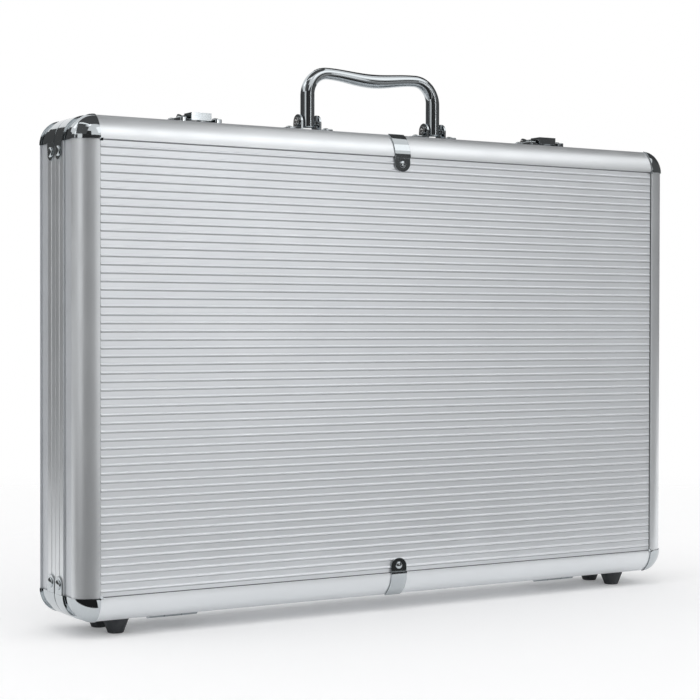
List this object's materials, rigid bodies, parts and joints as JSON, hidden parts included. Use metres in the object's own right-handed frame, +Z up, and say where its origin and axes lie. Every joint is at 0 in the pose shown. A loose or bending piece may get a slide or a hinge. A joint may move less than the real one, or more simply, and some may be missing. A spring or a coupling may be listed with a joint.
{
  "type": "poker chip case",
  "caption": "Flat carrying case with ribbed aluminium faces, chrome corners, draw latches, a bail handle and chip racks inside.",
  "frame": {"origin": "on the ground plane, midway along the case, in the plane of the seam between the two shells", "axes": "+X along the width, +Z up as the case stands on its feet, -Y out of the lid's ribbed face"},
  "size_m": [0.4616, 0.0676, 0.3583],
  "materials": {
    "ribbed_panel": "satin, ribbed",
    "edge_trim": "satin anodised",
    "wall_board": "satin",
    "chrome": "polished",
    "steel": "polished",
    "foot_rubber": "matt",
    "rack_flock": "flocked",
    "lid_foam": "foam"
  },
  "bodies": {
    "base": {"base_panel": "ribbed_panel", "base_board_bottom": "wall_board", "base_board_top": "wall_board", "base_board_left": "wall_board", "base_board_right": "wall_board", "base_trim_left": "edge_trim", "base_trim_right": "edge_trim", "base_closing_profile": "edge_trim", "base_corner_bottom_left": "chrome", "base_corner_bottom_right": "chrome", "base_corner_top_left": "chrome", "base_corner_top_right": "chrome", "base_clip_bottom": "chrome", "base_clip_top": "chrome", "base_foot_left": "foot_rubber", "base_foot_right": "foot_rubber", "chip_rack_left": "rack_flock", "chip_rack_right": "rack_flock", "accessory_tray": "rack_flock", "hinge_left_base_leaf": "chrome", "hinge_left_pin": "steel", "handle_bracket_left": "chrome", "handle_pin_left": "steel", "latch_left_base": "chrome", "latch_left_lever_pin": "steel", "hinge_right_base_leaf": "chrome", "hinge_right_pin": "steel", "handle_bracket_right": "chrome", "handle_pin_right": "steel", "latch_right_base": "chrome", "latch_right_lever_pin": "steel"},
    "lid": {"lid_panel": "ribbed_panel", "lid_board_bottom": "wall_board", "lid_board_top": "wall_board", "lid_board_left": "wall_board", "lid_board_right": "wall_board", "lid_trim_left": "edge_trim", "lid_trim_right": "edge_trim", "lid_closing_profile": "edge_trim", "lid_corner_bottom_left": "chrome", "lid_corner_bottom_right": "chrome", "lid_corner_top_left": "chrome", "lid_corner_top_right": "chrome", "lid_clip_bottom": "chrome", "lid_clip_top": "chrome", "lid_foot_left": "foot_rubber", "lid_foot_right": "foot_rubber", "lid_pad": "lid_foam", "hinge_left_lid_leaf": "chrome", "latch_left_catch": "chrome", "hinge_right_lid_leaf": "chrome", "latch_right_catch": "chrome"},
    "latch_left_lever": {"latch_left_lever": "chrome", "latch_left_hook_pin": "steel"},
    "latch_left_hook": {"latch_left_hook": "chrome"},
    "latch_right_lever": {"latch_right_lever": "chrome", "latch_right_hook_pin": "steel"},
    "latch_right_hook": {"latch_right_hook": "chrome"},
    "handle": {"handle_grip": "chrome"}
  },
  "joints": [
    {"name": "lid_hinge", "type": "hinge", "parent": "base", "child": "lid", "pos_m": [0, 0, 0.0069], "axis": [1, 0, 0], "range_deg": [0, 90]},
    {"name": "handle_swing", "type": "hinge", "parent": "base", "child": "handle", "pos_m": [0, 0.00595, 0.321], "axis": [1, 0, 0], "range_deg": [-90, 90]},
    {"name": "latch_left_lever_turn", "type": "hinge", "parent": "base", "child": "latch_left_lever", "pos_m": [-0.137, 0.0038, 0.3171], "axis": [1, 0, 0], "range_deg": [0, 100]},
    {"name": "latch_left_hook_turn", "type": "hinge", "parent": "latch_left_lever", "child": "latch_left_hook", "pos_m": [-0.137, 0.0108, 0.3192], "axis": [1, 0, 0], "range_deg": [-125, 0]},
    {"name": "latch_right_lever_turn", "type": "hinge", "parent": "base", "child": "latch_right_lever", "pos_m": [0.137, 0.0038, 0.3171], "axis": [1, 0, 0], "range_deg": [0, 100]},
    {"name": "latch_right_hook_turn", "type": "hinge", "parent": "latch_right_lever", "child": "latch_right_hook", "pos_m": [0.137, 0.0108, 0.3192], "axis": [1, 0, 0], "range_deg": [-125, 0]}
  ],
  "couplings": [
    {"joint": "latch_left_hook_turn", "follows": "latch_left_lever_turn", "ratio": -1.25},
    {"joint": "latch_right_hook_turn", "follows": "latch_right_lever_turn", "ratio": -1.25}
  ]
}
